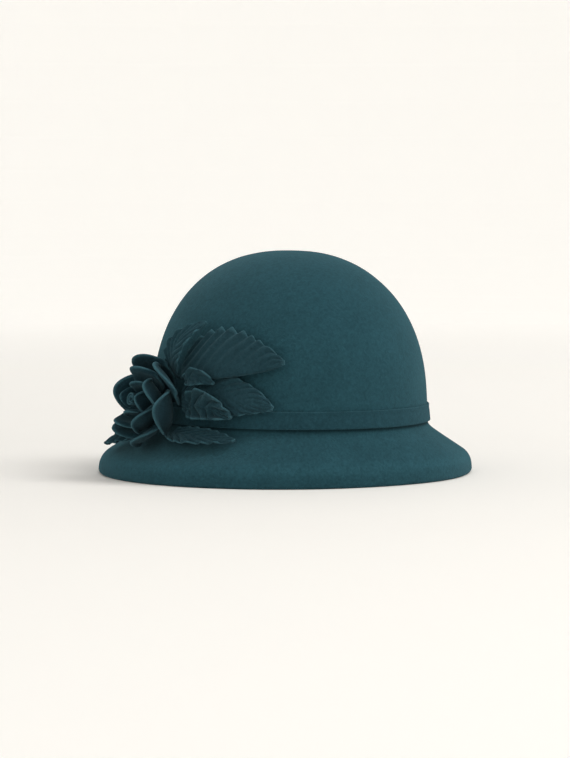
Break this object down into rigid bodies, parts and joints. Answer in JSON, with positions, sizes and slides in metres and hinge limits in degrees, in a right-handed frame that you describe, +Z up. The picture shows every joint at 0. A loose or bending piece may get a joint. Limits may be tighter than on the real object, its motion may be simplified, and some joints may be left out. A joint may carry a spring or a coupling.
{
  "type": "cloche hat",
  "caption": "Felt cloche hat with a domed crown, a turned-down brim with a turned-under edge, a felt band and a felt flower with pleated leaves on one side.",
  "frame": {"origin": "On the surface that the brim's edge rests on, under the middle of the whole hat's box.", "axes": "+Z up through the crown. The hat's front faces -Y, and the wearer's right, with the flower, is -X."},
  "size_m": [0.2494, 0.237, 0.145],
  "materials": {
    "hat_felt": "matte blocked wool felt, fine short nap, dark teal",
    "band_felt": "matte wool felt strip with cut edges, dark teal",
    "petal_felt": "matte wool felt petals with pale worn rims, deep teal",
    "leaf_felt": "matte pressed and pleated wool felt, deep teal"
  },
  "bodies": {
    "root": {"felt_body": "hat_felt", "hat_band": "band_felt", "flower_bud": "petal_felt", "petal_outer_1": "petal_felt", "petal_outer_2": "petal_felt", "petal_outer_3": "petal_felt", "petal_outer_4": "petal_felt", "petal_outer_5": "petal_felt", "petal_outer_6": "petal_felt", "petal_middle_1": "petal_felt", "petal_middle_2": "petal_felt", "petal_middle_3": "petal_felt", "petal_middle_4": "petal_felt", "petal_middle_5": "petal_felt", "petal_inner_1": "petal_felt", "petal_inner_2": "petal_felt", "petal_inner_3": "petal_felt", "petal_inner_4": "petal_felt", "leaf_front_upper": "leaf_felt", "leaf_front": "leaf_felt", "leaf_ruffled": "leaf_felt", "leaf_curled": "leaf_felt", "leaf_top": "leaf_felt", "leaf_brim_front": "leaf_felt", "leaf_brim_back": "leaf_felt", "leaf_back": "leaf_felt"}
  },
  "joints": []
}
